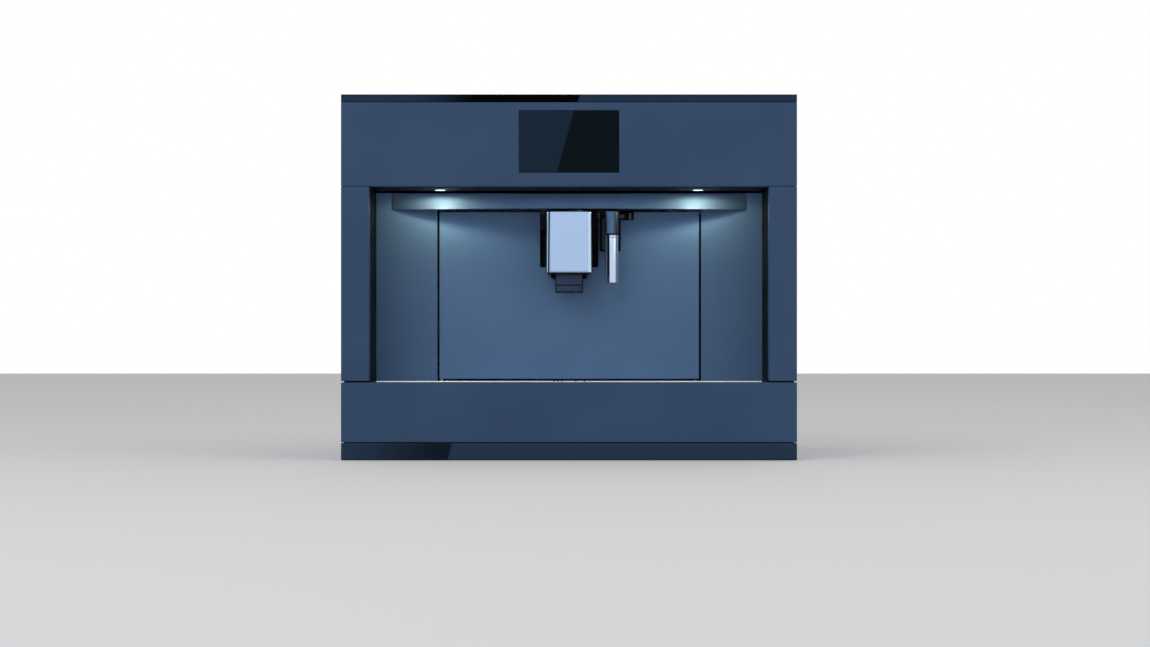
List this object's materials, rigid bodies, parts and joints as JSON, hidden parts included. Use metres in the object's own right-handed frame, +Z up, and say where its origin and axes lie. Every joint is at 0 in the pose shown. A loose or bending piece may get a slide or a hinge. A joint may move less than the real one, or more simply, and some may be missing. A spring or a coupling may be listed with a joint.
{
  "type": "built in coffee machine",
  "caption": "Fully automatic built-in coffee machine with a touch display, lit cup recess, adjustable spout and hot-water wand, on pull-out niche guides.",
  "frame": {"origin": "centre of the footprint, on the niche shelf", "axes": "+X to the right seen from the room, +Y into the niche, +Z up"},
  "size_m": [0.595, 0.412, 0.4775],
  "materials": {
    "satin_panel": "satin slate blue coat",
    "gloss_trim": "high gloss",
    "display_glass": "gloss black glass",
    "bright_metal": "bright",
    "brushed_steel": "brushed",
    "zinc_sheet": "zinc-plated sheet",
    "aluminium": "cast",
    "dark_sheet": "satin black",
    "black_plastic": "satin",
    "navy_plastic": "satin",
    "grey_plastic": "matte",
    "lamp_lens": "frosted lens",
    "clear_plastic": "clear",
    "silicone": "matte",
    "circuit_board": "solder mask"
  },
  "bodies": {
    "niche_guides": {"guide_bracket_left": "zinc_sheet", "guide_bracket_right": "zinc_sheet", "guide_tie_bar": "zinc_sheet", "outer_slide_left": "zinc_sheet", "outer_slide_right": "zinc_sheet"},
    "middle_slides": {"middle_slide_left": "brushed_steel", "middle_slide_right": "brushed_steel"},
    "machine": {"inner_slide_left": "zinc_sheet", "inner_slide_right": "zinc_sheet", "front_frame": "dark_sheet", "upper_panel": "satin_panel", "pillar_left": "satin_panel", "pillar_right": "satin_panel", "bottom_strip": "gloss_trim", "top_strip": "gloss_trim", "display_glass": "display_glass", "display_module": "black_plastic", "recess_liner": "dark_sheet", "recess_back": "satin_panel", "visor": "satin_panel", "lamp_bar": "lamp_lens", "base_pan": "zinc_sheet", "side_panel_left": "zinc_sheet", "side_panel_right": "zinc_sheet", "deck": "zinc_sheet", "top_cover": "zinc_sheet", "rear_cover": "zinc_sheet", "brew_frame": "grey_plastic", "brew_motor": "zinc_sheet", "boiler": "aluminium", "pump": "grey_plastic", "pump_pipe": "silicone", "brew_hose": "silicone", "grinder": "black_plastic", "bean_hopper": "clear_plastic", "tank_dock": "black_plastic", "fan_housing": "black_plastic", "power_inlet": "black_plastic", "control_board": "circuit_board"},
    "service_door": {"door_panel": "satin_panel", "spout_channel": "black_plastic", "wand_socket": "navy_plastic"},
    "coffee_spout": {"spout_cover": "bright_metal", "spout_carriage": "black_plastic", "spout_nozzles": "navy_plastic"},
    "hot_water_wand": {"wand_knob": "black_plastic", "wand_tube": "bright_metal"},
    "drip_drawer": {"lower_panel": "satin_panel", "drip_tray": "black_plastic", "grounds_container": "grey_plastic"},
    "drip_grille": {"drip_grille": "brushed_steel"},
    "tank": {"water_tank": "clear_plastic", "tank_lid": "grey_plastic"},
    "bean_lid": {"bean_lid": "black_plastic"},
    "brew_chamber": {"brew_chamber": "black_plastic"},
    "brew_spindle": {"brew_spindle": "brushed_steel"},
    "grinder_burr": {"grinder_burr": "brushed_steel"},
    "fan_rotor": {"fan_rotor": "black_plastic"},
    "power_switch": {"power_switch": "black_plastic"}
  },
  "joints": [
    {"name": "machine_slide", "type": "slide", "parent": "niche_guides", "child": "machine", "axis": [0, -1, 0], "range_m": [0, 0.33]},
    {"name": "middle_slide", "type": "slide", "parent": "niche_guides", "child": "middle_slides", "axis": [0, -1, 0], "range_m": [0, 0.165]},
    {"name": "door_hinge", "type": "hinge", "parent": "machine", "child": "service_door", "pos_m": [-0.1725, -0.092, 0.217], "axis": [0, 0, -1], "range_deg": [0, 90]},
    {"name": "spout_height", "type": "slide", "parent": "service_door", "child": "coffee_spout", "axis": [0, 0, -1], "range_m": [0, 0.049]},
    {"name": "wand_pull", "type": "slide", "parent": "service_door", "child": "hot_water_wand", "axis": [0, -1, 0], "range_m": [0, 0.03]},
    {"name": "drawer_slide", "type": "slide", "parent": "machine", "child": "drip_drawer", "axis": [0, -1, 0], "range_m": [0, 0.24]},
    {"name": "grille_lift", "type": "slide", "parent": "drip_drawer", "child": "drip_grille", "axis": [0, 0, -1], "range_m": [-0.03, 0]},
    {"name": "tank_slide", "type": "slide", "parent": "machine", "child": "tank", "axis": [1, 0, 0], "range_m": [0, 0.09]},
    {"name": "bean_lid_hinge", "type": "hinge", "parent": "machine", "child": "bean_lid", "pos_m": [-0.125, 0.094, 0.4423], "axis": [-1, 0, 0], "range_deg": [0, 100]},
    {"name": "brew_lift", "type": "slide", "parent": "machine", "child": "brew_chamber", "axis": [0, 0, 1], "range_m": [0, 0.055]},
    {"name": "brew_spindle_turn", "type": "hinge", "parent": "machine", "child": "brew_spindle", "pos_m": [0, 0.006, 0.2], "axis": [0, 0, 1], "range_deg": [0, 792]},
    {"name": "grinder_spin", "type": "hinge", "parent": "machine", "child": "grinder_burr", "pos_m": [-0.125, 0.014, 0.27], "axis": [0, 0, 1], "continuous": true},
    {"name": "fan_spin", "type": "hinge", "parent": "machine", "child": "fan_rotor", "pos_m": [0.1, 0.179, 0.35], "axis": [0, 1, 0], "continuous": true},
    {"name": "power_rocker", "type": "hinge", "parent": "machine", "child": "power_switch", "pos_m": [-0.174, 0.1883, 0.069], "axis": [-1, 0, 0], "range_deg": [0, 16]}
  ],
  "couplings": [
    {"joint": "middle_slide", "follows": "machine_slide", "ratio": 0.5},
    {"joint": "brew_spindle_turn", "follows": "brew_lift", "rad_per_m": 251.33}
  ]
}
